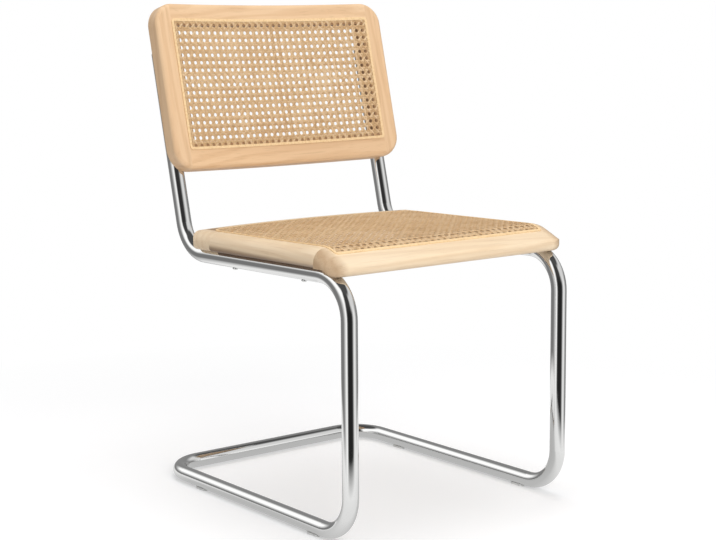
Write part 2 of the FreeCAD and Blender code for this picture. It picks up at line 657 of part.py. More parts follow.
# What the seat's form loses: the tubes' saddles, the notches under the front rail's ends, the holes
# for screws and dowels, and the groove for the spline.
notch_bodies = []
for side, sign in SIDES:
    notch_body = new_body(side + "_notch", SEAT)
    notch = new_sketch(notch_body, side + "_notch_outline", "YZ_Plane",
                       "seat_width / 2 - notch_inset" if sign > 0 else "-seat_width / 2 - seat_front")
    reach_y = "(seat_front + notch_reach - notch_radius)"
    draw_path(notch, (
        (reach_y, SEAT_BOTTOM + " - 3 * front_drop"),
        (reach_y, SEAT_BOTTOM, "notch_radius"),
        ("seat_front + 1.5 * front_inner", SEAT_BOTTOM),
        ("seat_front + 1.5 * front_inner", SEAT_BOTTOM + " - 3 * front_drop"),
    ), True)
    pad(notch_body, notch, "notch_inset + seat_front")
    notch_bodies.append(notch_body)


def draw_ring(sketch, left, low, right, high, inset):
    """The back panel's outline, drawn in by an inset, with round corners."""
    corner = "(cane_corner + groove_width - " + inset + ")"
    draw_path(sketch, (
        (left + " + " + inset, low + " + " + inset, corner),
        (right + " - " + inset, low + " + " + inset, corner),
        (right + " - " + inset, high + " - " + inset, corner),
        (left + " + " + inset, high + " - " + inset, corner),
    ), True)


BACK_RING = ("(back_cane_side - back_width / 2)", "(back_bottom + back_cane_bottom)",
             "(back_width / 2 - back_cane_side)", "(" + BACK_TOP + " - back_cane_top)")


def seat_panel(name, inset):
    """The seat panel's outline from above, drawn in by an inset, as a tall block."""
    outline = ("(seat_front + cane_front + " + inset + ")",
               "(seat_width / 2 - cane_side - " + inset + ")",
               "(rear_bow_radius - cane_rear - " + inset + ")")
    corners = ("cane_corner + groove_width - " + inset,
               "cane_rear_corner + groove_width - " + inset)
    return seat_plan(name, outline, corners, "0 * seat_front", SEAT_TOP + " + 2 * seat_front")


def seat_layer(name, ring_insets, low, high):
    """A layer of the seat's top between two heights over the wood, inside one or two outlines."""
    plans = [seat_panel("%s_plan_%d" % (name, i), inset) for i, inset in enumerate(ring_insets)]
    plan = plans[0] if len(plans) == 1 else cut(name + "_ring", plans[0], plans[1])
    layer_body = new_body(name + "_layer", SEAT)
    layer = new_sketch(layer_body, name + "_layer_outline", "YZ_Plane")
    corners = []
    for rise in (low, high):
        fall_y = "(" + FALL_Y + " - (" + rise + ") * tan(fall_angle / 2))"
        top_z = "(" + SEAT_TOP + " + (" + rise + "))"
        run = [("seat_rear", top_z),
               (fall_y, top_z, "crown_radius + (" + rise + ")"),
               ("seat_front", top_z + " - (" + fall_y + " - seat_front) * tan(fall_angle)")]
        corners += run if rise is low else run[::-1]
    draw_path(layer, corners, True)
    pad(layer_body, layer, "seat_width", True)
    return common(name + "_common", [plan, layer_body])


def back_layer(name, ring_insets, inner, outer):
    """A layer of the back's hollow front between two radii, inside one or two outlines."""
    front_body = new_body(name + "_front", BACK)
    front = new_sketch(front_body, name + "_front_outline", "XZ_Plane")
    for inset in ring_insets:
        draw_ring(front, *BACK_RING, inset)
    pad(front_body, front, "4 * (back_thickness + tube_dia)", True)
    layer_body = new_body(name + "_layer", BACK)
    layer = new_sketch(layer_body, name + "_layer_outline", "XY_Plane", "back_bottom")
    draw_strip(layer, inner, outer, "back_width / 2")
    pad(layer_body, layer, "back_height")
    return common(name + "_common", [front_body, layer_body])


seat_groove = seat_layer("seat_groove", ("0", "groove_width"), "-groove_depth", "groove_depth")
back_groove = back_layer("back_groove", ("0", "groove_width"),
                         "back_curve - groove_depth", "back_curve + groove_depth")

# Dowels: two in each corner joint. Seat dowels run front to back, back dowels run across.
REAR_JOINT = "(seat_rear - rear_joint)"
seat_dowel_spots = []
seat_height_mid = value(SEAT_BOTTOM + " + seat_thickness * 0.42")
rail_inner = value("seat_width / 2 - cane_side - cane_lip")
rail_mid = (rail_inner + value("seat_width / 2")) / 2 - value("dowel_dia / 4")
for side, sign in SIDES:
    for joint in ("seat_front + front_joint", REAR_JOINT):
        for step in (-0.5, 0.5):
            seat_dowel_spots.append(FreeCAD.Vector(
                sign * (rail_mid + step * value("dowel_spacing")),
                value(joint + " - dowel_length / 2"), seat_height_mid))
back_dowel_spots = []
LOW_RAIL = "(back_cane_bottom + cane_lip)"
HIGH_RAIL = "(back_cane_top + cane_lip)"
joint_x = value("back_width / 2 - back_cane_side")
joint_mid = value(CURVE_CENTRE) + math.sqrt(
    value("(back_curve + back_thickness / 2)") ** 2 - joint_x ** 2)
for side, sign in SIDES:
    for middle_v in ("back_bottom + " + LOW_RAIL + " / 2", BACK_TOP + " - " + HIGH_RAIL + " / 2"):
        for step in (-0.5, 0.5):
            start_x = sign * joint_x + value(
                "stile_dowel_depth - dowel_length" if sign > 0 else "-stile_dowel_depth")
            back_dowel_spots.append(FreeCAD.Vector(
                start_x, joint_mid, value(middle_v) + step * value("dowel_spacing")))


def dowel_set(name, place, points, direction):
    """Dowels of one frame and, a little wider and longer, their holes."""
    pins = []
    holes = []
    for i, point in enumerate(points):
        pins.append(cylinder("%s_%d" % (name, i), place, "dowel_dia / 2", "dowel_length",
                             point, direction))
        holes.append(cylinder("%s_hole_%d" % (name, i), place, "dowel_dia / 2 + dowel_gap",
                              "dowel_length + 2 * dowel_gap",
                              point - direction * value("dowel_gap"), direction))
    return group(name + "_set", pins), holes


seat_dowels, seat_dowel_holes = dowel_set("seat_dowel", SEAT, seat_dowel_spots, BACKWARD)
back_dowels, back_dowel_holes = dowel_set("back_dowel", BACK, back_dowel_spots,
                                          FreeCAD.Vector(1, 0, 0))
keep("seat_dowels", seat_dowels)
keep("back_dowels", back_dowels)
seat_tools = fuse("seat_tools", clearances + notch_bodies + [seat_groove] + seat_holes
                  + seat_dowel_holes)
back_tools = fuse("back_tools", clearances + [back_groove] + back_holes + back_dowel_holes)


def region(name, place, role, offset, length, corners):
    """A block that takes one piece's share out of a frame's common form."""
    body = new_body(name, place)
    sketch = new_sketch(body, name + "_outline", role, offset)
    draw_path(sketch, corners, True)
    pad(body, sketch, length)
    return body


RAIL_INNER = "(seat_width / 2 - cane_side - cane_lip)"
OVER = " + seat_front)"
seat_depth = "seat_thickness + 4 * front_drop"
seat_low = SEAT_BOTTOM + " - 2 * front_drop"
FRONT_END = "(seat_front + front_joint)"
FRONT_INNER = "(seat_front + front_inner)"
SEAT_OUT = "(seat_width / 2" + OVER
SEAT_BACK = "(seat_rear" + OVER
front_region = region("front_rail_region", SEAT, "XY_Plane", seat_low, seat_depth, (
    ("-" + SEAT_OUT, "0"), (SEAT_OUT, "0"), (SEAT_OUT, FRONT_END), (RAIL_INNER, FRONT_END),
    (RAIL_INNER, FRONT_INNER), ("-" + RAIL_INNER, FRONT_INNER), ("-" + RAIL_INNER, FRONT_END),
    ("-" + SEAT_OUT, FRONT_END)))
rear_region = region("rear_rail_region", SEAT, "XY_Plane", seat_low, seat_depth, (
    ("-" + SEAT_OUT, REAR_JOINT), (SEAT_OUT, REAR_JOINT), (SEAT_OUT, SEAT_BACK),
    ("-" + SEAT_OUT, SEAT_BACK)))
keep("seat_front_rail", cut("front_rail_cut", common("front_rail_form", [seat_form, front_region]),
                            seat_tools))
seat_opening = seat_plan("seat_opening", (
    FRONT_INNER, RAIL_INNER, "(rear_bow_radius - cane_rear - cane_lip)"), (
    "cane_corner", "cane_rear_corner + groove_width - cane_lip"), seat_low, seat_depth)
rear_form = common("rear_rail_form", [seat_form, rail_body, rear_region])
keep("seat_rear_rail", cut("rear_rail_cut", cut("rear_rail_opened", rear_form, seat_opening),
                           seat_tools))
for side, sign in SIDES:
    near, far = (RAIL_INNER, SEAT_OUT) if sign > 0 else ("-" + SEAT_OUT, "-" + RAIL_INNER)
    side_region = region(side + "_rail_region", SEAT, "XY_Plane", seat_low, seat_depth, (
        (near, FRONT_END), (far, FRONT_END), (far, REAR_JOINT), (near, REAR_JOINT)))
    side_form = common(side + "_rail_form", [seat_form, rail_body, side_region])
    keep("seat_%s_rail" % side, cut(side + "_rail_cut", side_form, seat_tools))



def slots(name, place, along, count, limits, corner, size):
    """Evenly spaced slots side by side between two limits along one axis of a frame."""
    pitch = "((" + limits[1] + " - " + limits[0] + ") / " + count + ")"
    boxes = []
    for i in range(round(value(count))):
        corner[along] = limits[0] + " + " + pitch + " * " + str(i) + " + mesh_bar / 2"
        size[along] = pitch + " - mesh_bar"
        boxes.append(block("%s_%d" % (name, i), place, corner, size))
    return group(name + "_set", boxes)


# The cane panels' openings, where the columns' and the rows' slots cross inside the wood's lips.
MESH_REAR = "(seat_rear - cane_rear - cane_lip)"
seat_columns = slots("seat_mesh_column", SEAT, 0, "mesh_columns", ("-" + RAIL_INNER, RAIL_INNER),
                     ["0", FRONT_INNER, SEAT_BOTTOM], ["0", "seat_rear", "2 * seat_thickness"])
seat_rows = slots("seat_mesh_row", SEAT, 1, "seat_mesh_rows", (FRONT_INNER, MESH_REAR),
                  ["-" + RAIL_INNER, "0", SEAT_BOTTOM], ["2 * " + RAIL_INNER, "0",
                                                         "2 * seat_thickness"])
seat_mesh = common("seat_mesh", [seat_columns, seat_rows, seat_opening])
seat_sheet = seat_layer("seat_cane", ("groove_width",), "spline_gap / 2", "cane_thickness")
keep("seat_cane", cut("seat_cane_mesh", seat_sheet, seat_mesh))
keep("seat_spline", seat_layer("seat_spline", ("spline_gap", "groove_width - spline_gap"),
                               "spline_gap - groove_depth", "spline_rise"))

# The back's wood as one form: a curved panel with round corners and rounded edges, which divides
# into two stiles at full height and two rails between them. Its frame has Z along the uprights and Y
# square to them, towards the back.
back_body = new_body("back_panel", BACK)
back_plan = new_sketch(back_body, "back_plan", "XY_Plane", "back_bottom")
draw_strip(back_plan, "back_curve", REAR_CURVE, "back_width / 2")
pad(back_body, back_plan, "back_height")
half_back = value("back_width / 2")
fillet(back_body, "back_corners", "back_corner",
       lambda edge: runs_along(edge, BACKWARD) and abs(abs(edge.Vertexes[0].X) - half_back) < 0.01)


def on_curve(edge, radius):
    """Whether an edge lies on one of the back's two curved faces."""
    spots = [edge.valueAt(edge.FirstParameter + part * (edge.LastParameter - edge.FirstParameter))
             for part in (0.0, 0.3, 0.7, 1.0)]
    return all(abs(math.hypot(spot.x, spot.y - value(CURVE_CENTRE)) - radius) < 0.01
               for spot in spots)


fillet(back_body, "back_front_edge", "back_front_round",
       lambda edge: on_curve(edge, value("back_curve")))
fillet(back_body, "back_rear_edge", "back_rear_round",
       lambda edge: on_curve(edge, value(REAR_CURVE)))

BACK_OUT = "(back_width / 2 + back_corner)"
JOINT_X = "(back_width / 2 - back_cane_side)"
LIP_X = "(back_width / 2 - back_cane_side - cane_lip)"
LOW_EDGE = "(back_bottom + back_cane_bottom + cane_lip)"
HIGH_EDGE = "(" + BACK_TOP + " - back_cane_top - cane_lip)"
BELOW = "(back_bottom - back_corner)"
ABOVE = "(" + BACK_TOP + " + back_corner)"
through = "3 * (back_thickness + tube_dia)"
forth = "1.5 * (back_thickness + tube_dia)"
for label, low, high in (("back_bottom_rail", BELOW, LOW_EDGE), ("back_top_rail", HIGH_EDGE, ABOVE)):
    rail_region = region(label + "_region", BACK, "XZ_Plane", "-" + forth, through, (
        ("-" + JOINT_X, low), (JOINT_X, low), (JOINT_X, high), ("-" + JOINT_X, high)))
    rail_form = common(label + "_form", [back_body, rail_region])
    keep(label, cut(label + "_cut", rail_form, back_tools))
for side, sign in SIDES:
    mark = "" if sign > 0 else "-"
    stile_region = region(side + "_stile_region", BACK, "XZ_Plane", "-" + forth, through, (
        (mark + BACK_OUT, BELOW), (mark + JOINT_X, BELOW), (mark + JOINT_X, LOW_EDGE),
        (mark + LIP_X, LOW_EDGE), (mark + LIP_X, HIGH_EDGE), (mark + JOINT_X, HIGH_EDGE),
        (mark + JOINT_X, ABOVE), (mark + BACK_OUT, ABOVE)))
    stile_form = common(side + "_stile_form", [back_body, stile_region])
    keep("back_%s_stile" % side, cut(side + "_stile_cut", stile_form, back_tools))

back_columns = slots("back_mesh_column", BACK, 0, "mesh_columns", ("-" + LIP_X, LIP_X),
                     ["0", "-" + forth, LOW_EDGE], ["0", through, "back_height"])
back_rows = slots("back_mesh_row", BACK, 2, "back_mesh_rows", (LOW_EDGE, HIGH_EDGE),
                  ["-" + LIP_X, "-" + forth, "0"], ["2 * " + LIP_X, through, "0"])
back_mesh = common("back_mesh", [back_columns, back_rows])
back_sheet = back_layer("back_cane", ("groove_width",),
                        "back_curve - cane_thickness", "back_curve - spline_gap / 2")
keep("back_cane", cut("back_cane_mesh", back_sheet, back_mesh))
keep("back_spline", back_layer("back_spline", ("spline_gap", "groove_width - spline_gap"),
                               "back_curve - spline_rise",
                               "back_curve + groove_depth - spline_gap"))

doc.recompute()
faults = []
for item in doc.Objects:
    if "Invalid" in item.State or "Error" in item.State:
        faults.append("%s is %s" % (item.Name, item.State))
for name, item in nodes.items():
    if item.Shape.isNull() or not item.Shape.isValid() or not item.Shape.Solids:
        faults.append("%s has no valid solid" % name)
if faults:
    raise RuntimeError("; ".join(faults))

os.makedirs("parts", exist_ok=True)
for name, item in nodes.items():
    item.Shape.exportStep(os.path.join("parts", name + ".step"))
    print("%-20s %d solid(s), %10.1f mm3" % (name, len(item.Shape.Solids), item.Shape.Volume))
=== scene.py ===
import math

import bmesh
import bpy
from mathutils import Matrix, Vector


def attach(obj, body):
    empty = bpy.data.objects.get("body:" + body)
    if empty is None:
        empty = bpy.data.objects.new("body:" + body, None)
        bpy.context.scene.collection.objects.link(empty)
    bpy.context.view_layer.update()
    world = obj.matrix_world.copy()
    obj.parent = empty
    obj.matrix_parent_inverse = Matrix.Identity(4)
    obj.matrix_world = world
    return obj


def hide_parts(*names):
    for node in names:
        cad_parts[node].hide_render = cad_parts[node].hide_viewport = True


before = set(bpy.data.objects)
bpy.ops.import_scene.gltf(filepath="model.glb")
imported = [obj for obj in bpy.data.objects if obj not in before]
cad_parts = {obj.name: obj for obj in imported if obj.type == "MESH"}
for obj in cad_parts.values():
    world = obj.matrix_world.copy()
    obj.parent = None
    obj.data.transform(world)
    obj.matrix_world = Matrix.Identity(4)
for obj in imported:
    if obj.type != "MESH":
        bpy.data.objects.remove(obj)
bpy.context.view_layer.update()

MM = 0.001

# The chair's own sizes, as the model has them, in metres and degrees.
TUBE_RADIUS = 12.5 * MM
TRACK = 434.4 * MM
RAIL_HEIGHT = 404.3 * MM
SEAT_SLOPE = math.radians(0.943)
BACK_LEAN = math.radians(13.8)
FOOT_Y = -256.28 * MM
CROSS_REACH = 425.1 * MM
CROSS_Y = FOOT_Y + CROSS_REACH * math.cos(SEAT_SLOPE)
CROSS_Z = RAIL_HEIGHT - CROSS_REACH * math.sin(SEAT_SLOPE)

# The seat's top along the rails: wood height, slope and rounding of the front, edges of the cane.
SEAT_TOP = 41.0 * MM
SEAT_REAR = 410.0 * MM
REAR_BOW = 1000.0 * MM
FALL_ANGLE = math.radians(25.6)
FALL_CORNER = 56.8 * MM
CROWN_RADIUS = 58.0 * MM
CANE_FRONT = 37.0 * MM
CANE_REAR = 389.0 * MM
CANE_HALF = 214.0 * MM
CANE_CORNER = 6.6 * MM
CANE_REAR_CORNER = 32.6 * MM

# The back's hollow front, from the uprights' axis, and the edges of its cane.
BACK_RADIUS = 2000.0 * MM
BACK_SIDE_OFFSET = 9.6 * MM
BACK_THICKNESS = 30.0 * MM
BACK_CANE_HALF = 209.0 * MM
BACK_CANE_LOW = 164.7 * MM
BACK_CANE_HIGH = 386.0 * MM

# The weave: pairs of strands both ways and single strands on the two diagonals.
MESH_PITCH = 12.7 * MM
PAIR_HALF_GAP = 1.85 * MM
STRAND_WIDTH = 3.0 * MM
DIAGONAL_WIDTH = 3.0 * MM
STRAND_THICKNESS = 0.38 * MM
STRAND_SWING = 0.30 * MM
DIAGONAL_SWING = 0.46 * MM
WEAVE_LIFT = 0.70 * MM
SPLINE_OVERLAP = 2.4 * MM
STEPS_PER_PITCH = 6
EDGE_HALVINGS = 14

# How the strands' tones are dealt out: a golden step and a wave that breaks its order.
TONE_STEP = 0.618034
TONE_WAVE = 0.37
TONE_TURN = 12.9898

# Painted shade on the wood: at the ends of the front rail, in the corner above the tube, and under
# the cane, where the reed's width is left out and only the upper or front half of the wood counts.
END_STRETCH = 4.0
END_START = 210.0 * MM
END_FULL = 228.75 * MM
FOOT_SHADE_BELOW = 1.0 * MM
FOOT_SHADE_ABOVE = 5.0 * MM
RING = 4.6 * MM
SEAT_COVER_RISE = 20.0 * MM
BACK_COVER_DEPTH = 18.0 * MM

# The camera, solved from the tube's and the wood's edges.
CAMERA_PLACE = Vector((-1652.508, -1764.892 - 256.28, 768.203)) * MM
CAMERA_AZIMUTH = math.radians(-36.233)
CAMERA_PITCH = math.radians(8.292)
CAMERA_ROLL = math.radians(-0.514)
FOCAL_PIXELS = 1593.105
IMAGE_WIDTH = 716
IMAGE_HEIGHT = 540
AXIS_PIXEL = (271.004, 257.533)

# The studio: what the lamps face, and how far the floor goes from the middle.
CHAIR_MIDDLE = Vector((0, 0, 0.4))
FLOOR_REACH = 20.0


def set_camera():
    """The photograph's viewpoint, with its frame shifted off the optical axis."""
    back = Vector((math.sin(CAMERA_AZIMUTH) * math.cos(CAMERA_PITCH),
                   -math.cos(CAMERA_AZIMUTH) * math.cos(CAMERA_PITCH),
                   math.sin(CAMERA_PITCH)))
    right = Vector((math.cos(CAMERA_AZIMUTH), math.sin(CAMERA_AZIMUTH), 0))
    up = back.cross(right)
    turned_right = math.cos(CAMERA_ROLL) * right + math.sin(CAMERA_ROLL) * up
    turned_up = -math.sin(CAMERA_ROLL) * right + math.cos(CAMERA_ROLL) * up
    lens = bpy.data.cameras.new("camera")
    lens.sensor_fit = "HORIZONTAL"
    lens.sensor_width = 36
    lens.lens = FOCAL_PIXELS / IMAGE_WIDTH * lens.sensor_width
    lens.shift_x = (IMAGE_WIDTH / 2 - AXIS_PIXEL[0]) / IMAGE_WIDTH
    lens.shift_y = (AXIS_PIXEL[1] - IMAGE_HEIGHT / 2) / IMAGE_WIDTH
    lens.clip_start = 0.05
    lens.clip_end = 60
    camera = bpy.data.objects.new("camera", lens)
    turn = Matrix((turned_right, turned_up, back)).transposed()
    camera.matrix_world = Matrix.Translation(CAMERA_PLACE) @ turn.to_4x4()
    bpy.context.collection.objects.link(camera)
    bpy.context.scene.camera = camera


def add_node(tree, kind, inputs=None, **settings):
    """A shader node with its settings, and its inputs as numbers or as other nodes' outputs."""
    node = tree.nodes.new(kind)
    for name, setting in settings.items():
        setattr(node, name, setting)
    for name, given in (inputs or {}).items():
        if isinstance(given, bpy.types.NodeSocket):
            tree.links.new(given, node.inputs[name])
        else:
            node.inputs[name].default_value = given
    return node


def calculate(tree, operation, first, second=0.0, third=None):
    """The result of one sum on numbers or on other nodes' outputs."""
    inputs = {0: first, 1: second}
    if third is not None:
        inputs[2] = third
    return add_node(tree, "ShaderNodeMath", inputs, operation=operation).outputs[0]


def blend_colours(tree, amount, first, second, mode="MIX"):
    """Two colours blended by an amount."""
    node = tree.nodes.new("ShaderNodeMix")
    node.data_type = "RGBA"
    node.blend_type = mode
    for index, given in ((0, amount), (6, first), (7, second)):
        if isinstance(given, bpy.types.NodeSocket):
            tree.links.new(given, node.inputs[index])
        else:
            node.inputs[index].default_value = given
    return node.outputs[2]


def blend_ramp(tree, factor, stops):
    """A ramp of greys or colours over a factor, from (position, colour) stops."""
    node = tree.nodes.new("ShaderNodeValToRGB")
    tree.links.new(factor, node.inputs[0])
    ramp = node.color_ramp
    while len(ramp.elements) < len(stops):
        ramp.elements.new(0.5)
    for element, (position, colour) in zip(ramp.elements, stops):
        element.position = position
        element.color = colour if isinstance(colour, tuple) else grey(colour)
    return node.outputs[0]


def grey(level):
    """A grey on the shader's linear scale."""
    return (level, level, level, 1)


def paint(red, green, blue):
    """A colour as it is seen on screen, 0 to 255, turned into the shader's linear scale."""
    def linear(level):
        share = level / 255
        return share / 12.92 if share <= 0.04045 else ((share + 0.055) / 1.055) ** 2.4
    return (linear(red), linear(green), linear(blue), 1)


def new_material(name):
    """A material with its node tree and its main shader."""
    material = bpy.data.materials.new(name)
    material.use_nodes = True
    tree = material.node_tree
    shader = tree.nodes["Principled BSDF"]
    return material, tree, shader


def new_group(name, inputs, outputs):
    """A node group with named sockets: its tree, its input node and its output node."""
    tree = bpy.data.node_groups.new(name, "ShaderNodeTree")
    for label, kind in inputs:
        tree.interface.new_socket(name=label, in_out="INPUT", socket_type=kind)
    for label, kind in outputs:
        tree.interface.new_socket(name=label, in_out="OUTPUT", socket_type=kind)
    return tree, tree.nodes.new("NodeGroupInput"), tree.nodes.new("NodeGroupOutput")


def place_group(tree, group, inputs):
    """A node group placed in a tree, its inputs as numbers or as other nodes' outputs."""
    node = tree.nodes.new("ShaderNodeGroup")
    node.node_tree = group
    for name, given in inputs.items():
        if isinstance(given, bpy.types.NodeSocket):
            tree.links.new(given, node.inputs[name])
        else:
            node.inputs[name].default_value = given
    return node


def build_grain():
    """Pale wood grain along the third axis of the coordinates that it is given, in metres."""
    tree, given, result = new_group(
        "wood_grain",
        [("Coordinates", "NodeSocketVector"), ("Light", "NodeSocketColor"),
         ("Dark", "NodeSocketColor"), ("Figure", "NodeSocketFloat")],
        [("Colour", "NodeSocketColor"), ("Roughness", "NodeSocketFloat"),
         ("Height", "NodeSocketFloat")])
    stretched = add_node(tree, "ShaderNodeMapping",
                         {"Vector": given.outputs["Coordinates"], "Scale": (26, 26, 1.6)})
    broad = add_node(tree, "ShaderNodeTexNoise",
                     {"Vector": stretched.outputs[0], "Scale": 1.4, "Detail": 4, "Roughness": 0.55,
                      "Distortion": 0.7})
    rings = add_node(tree, "ShaderNodeTexWave",
                     {"Vector": stretched.outputs[0], "Scale": 1.5, "Distortion": 9.0, "Detail": 3,
                      "Detail Scale": 0.8, "Detail Roughness": 0.55},
                     wave_type="BANDS", bands_direction="DIAGONAL")
    fine_map = add_node(tree, "ShaderNodeMapping",
                        {"Vector": given.outputs["Coordinates"], "Scale": (520, 520, 14)})
    pores = add_node(tree, "ShaderNodeTexNoise",
                     {"Vector": fine_map.outputs[0], "Scale": 1.0, "Detail": 3, "Roughness": 0.6})
    pore_mask = blend_ramp(tree, pores.outputs["Fac"], [(0.55, 0.0), (0.72, 1.0)])
    patch_map = add_node(tree, "ShaderNodeMapping",
                         {"Vector": given.outputs["Coordinates"], "Scale": (9, 9, 3.5)})
    patches = add_node(tree, "ShaderNodeTexNoise",
                       {"Vector": patch_map.outputs[0], "Scale": 1.0, "Detail": 2})
    ring_mask = blend_ramp(tree, rings.outputs["Fac"], [(0.35, 0.0), (0.95, 1.0)])
    drift = calculate(tree, "MULTIPLY", ring_mask, given.outputs["Figure"])
    tone = blend_ramp(tree, broad.outputs["Fac"], [(0.30, 0.0), (0.74, 1.0)])
    first = blend_colours(tree, calculate(tree, "MULTIPLY", tone, 0.42), given.outputs["Light"],
                          given.outputs["Dark"])
    second = blend_colours(tree, drift, first, given.outputs["Dark"])
    warm = blend_colours(tree, calculate(tree, "MULTIPLY", patches.outputs["Fac"], 0.35), second,
                         paint(247, 216, 170), "MULTIPLY")
    final = blend_colours(tree, calculate(tree, "MULTIPLY", pore_mask, 0.22), warm,
                          paint(150, 110, 70))
    tree.links.new(final, result.inputs["Colour"])
    rough = calculate(tree, "MULTIPLY_ADD", broad.outputs["Fac"], 0.12, 0.40)
    tree.links.new(rough, result.inputs["Roughness"])
    height = calculate(tree, "SUBTRACT", calculate(tree, "MULTIPLY", rings.outputs["Fac"], 0.3),
                       pore_mask)
    tree.links.new(height, result.inputs["Height"])
    return tree


def build_cane_shade():
    """A mask of the wood that the cane covers, on the face that looks down the second axis, for
    painted shade.
    """
    tree, given, result = new_group(
        "under_weave_shade",
        [("Coordinates", "NodeSocketVector"), ("Side", "NodeSocketFloat"),
         ("Low", "NodeSocketFloat"), ("High", "NodeSocketFloat"), ("Face", "NodeSocketFloat")],
        [("Mask", "NodeSocketFloat")])
    parts = add_node(tree, "ShaderNodeSeparateXYZ", {0: given.outputs["Coordinates"]})
    inside = calculate(tree, "LESS_THAN", calculate(tree, "ABSOLUTE", parts.outputs["X"]),
                       given.outputs["Side"])
    above = calculate(tree, "GREATER_THAN", parts.outputs["Z"], given.outputs["Low"])
    under = calculate(tree, "LESS_THAN", parts.outputs["Z"], given.outputs["High"])
    faced = calculate(tree, "LESS_THAN", parts.outputs["Y"], given.outputs["Face"])
    mask = calculate(tree, "MULTIPLY", calculate(tree, "MULTIPLY", inside, above),
                     calculate(tree, "MULTIPLY", under, faced))
    tree.links.new(mask, result.inputs["Mask"])
    return tree


def wood_material(name, groups, turn, colours, cane_shade, ends=0.0, foot_shade=0.0):
    """Satin-lacquered pale wood whose grain runs along the axis that the turn brings upright.

    The wood is painted darker where the cane covers it, and by the given amounts at its two ends
    and in the corner above the tube that carries it: painted shade in all three places.
    """
    light, dark, figure = colours
    material, tree, shader = new_material(name)
    place = add_node(tree, "ShaderNodeTexCoord")
    mapping = add_node(tree, "ShaderNodeMapping",
                       {"Vector": place.outputs["Object"], "Rotation": turn})
    grain = place_group(tree, groups[0], {"Coordinates": mapping.outputs[0], "Light": light,
                                          "Dark": dark, "Figure": figure})
    cane_shade_turn, side, low, high, face = cane_shade
    level = add_node(tree, "ShaderNodeMapping",
                     {"Vector": place.outputs["Object"], "Rotation": cane_shade_turn})
    cane_shade_mask = place_group(tree, groups[1], {"Coordinates": level.outputs[0], "Side": side,
                                            "Low": low, "High": high, "Face": face})
    parts = add_node(tree, "ShaderNodeSeparateXYZ", {0: place.outputs["Object"]})
    # Painted shade: the rail's two ends, where it rounds into the corners, are darkened by the
    # given amount.
    outward = calculate(tree, "MULTIPLY", calculate(tree, "ABSOLUTE", parts.outputs["X"]),
                        END_STRETCH)
    end_shade_mask = blend_ramp(tree, outward,
                          [(END_START * END_STRETCH, 0.0), (END_FULL * END_STRETCH, 1.0)])
    end_shade = calculate(tree, "MULTIPLY", end_shade_mask, ends)
    # Painted shade: the wood under the cane is darkened towards brown.
    shaded = blend_colours(tree, calculate(tree, "MULTIPLY", cane_shade_mask.outputs["Mask"], 0.75),
                           grain.outputs["Colour"], paint(132, 92, 54))
    ended = blend_colours(tree, end_shade, shaded, paint(206, 194, 182), "MULTIPLY")
    # Painted shade: the wood just above the tube's top is darkened by the given amount, a dark line
    # between rail and tube.
    tube_top = RAIL_HEIGHT + TUBE_RADIUS
    corner = blend_ramp(tree, parts.outputs["Z"],
                        [(tube_top - FOOT_SHADE_BELOW, 1.0), (tube_top + FOOT_SHADE_ABOVE, 0.0)])
    colour = blend_colours(tree, calculate(tree, "MULTIPLY", corner, foot_shade), ended,
                           paint(120, 96, 76), "MULTIPLY")
    tree.links.new(colour, shader.inputs["Base Color"])
    tree.links.new(grain.outputs["Roughness"], shader.inputs["Roughness"])
    bump = add_node(tree, "ShaderNodeBump", {"Height": grain.outputs["Height"], "Strength": 0.18,
                                             "Distance": 0.0003})
    tree.links.new(bump.outputs[0], shader.inputs["Normal"])
    shader.inputs["Coat Weight"].default_value = 0.12
    shader.inputs["Coat Roughness"].default_value = 0.35
    shader.inputs["Specular IOR Level"].default_value = 0.35
    return material


def chrome_material():
    """Polished chrome plate with faint wiping marks and a few specks of dust."""
    material, tree, shader = new_material("polished_chrome")
    place = add_node(tree, "ShaderNodeTexCoord")
    wipes = add_node(tree, "ShaderNodeTexNoise",
                     {"Vector": place.outputs["Object"], "Scale": 38, "Detail": 5,
                      "Roughness": 0.6})
    rough = blend_ramp(tree, wipes.outputs["Fac"], [(0.35, 0.035), (0.75, 0.085)])
    tree.links.new(rough, shader.inputs["Roughness"])
    dust = add_node(tree, "ShaderNodeTexNoise",
                    {"Vector": place.outputs["Object"], "Scale": 900, "Detail": 2})
    specks = blend_ramp(tree, dust.outputs["Fac"], [(0.70, 0.0), (0.80, 1.0)])
    tone = blend_colours(tree, calculate(tree, "MULTIPLY", specks, 0.12), paint(236, 236, 235),
                         paint(170, 170, 172))
    tree.links.new(tone, shader.inputs["Base Color"])
    shader.inputs["Metallic"].default_value = 1.0
    ripple = add_node(tree, "ShaderNodeBump", {"Height": wipes.outputs["Fac"], "Strength": 0.02,
                                               "Distance": 0.001})
    tree.links.new(ripple.outputs[0], shader.inputs["Normal"])
    return material


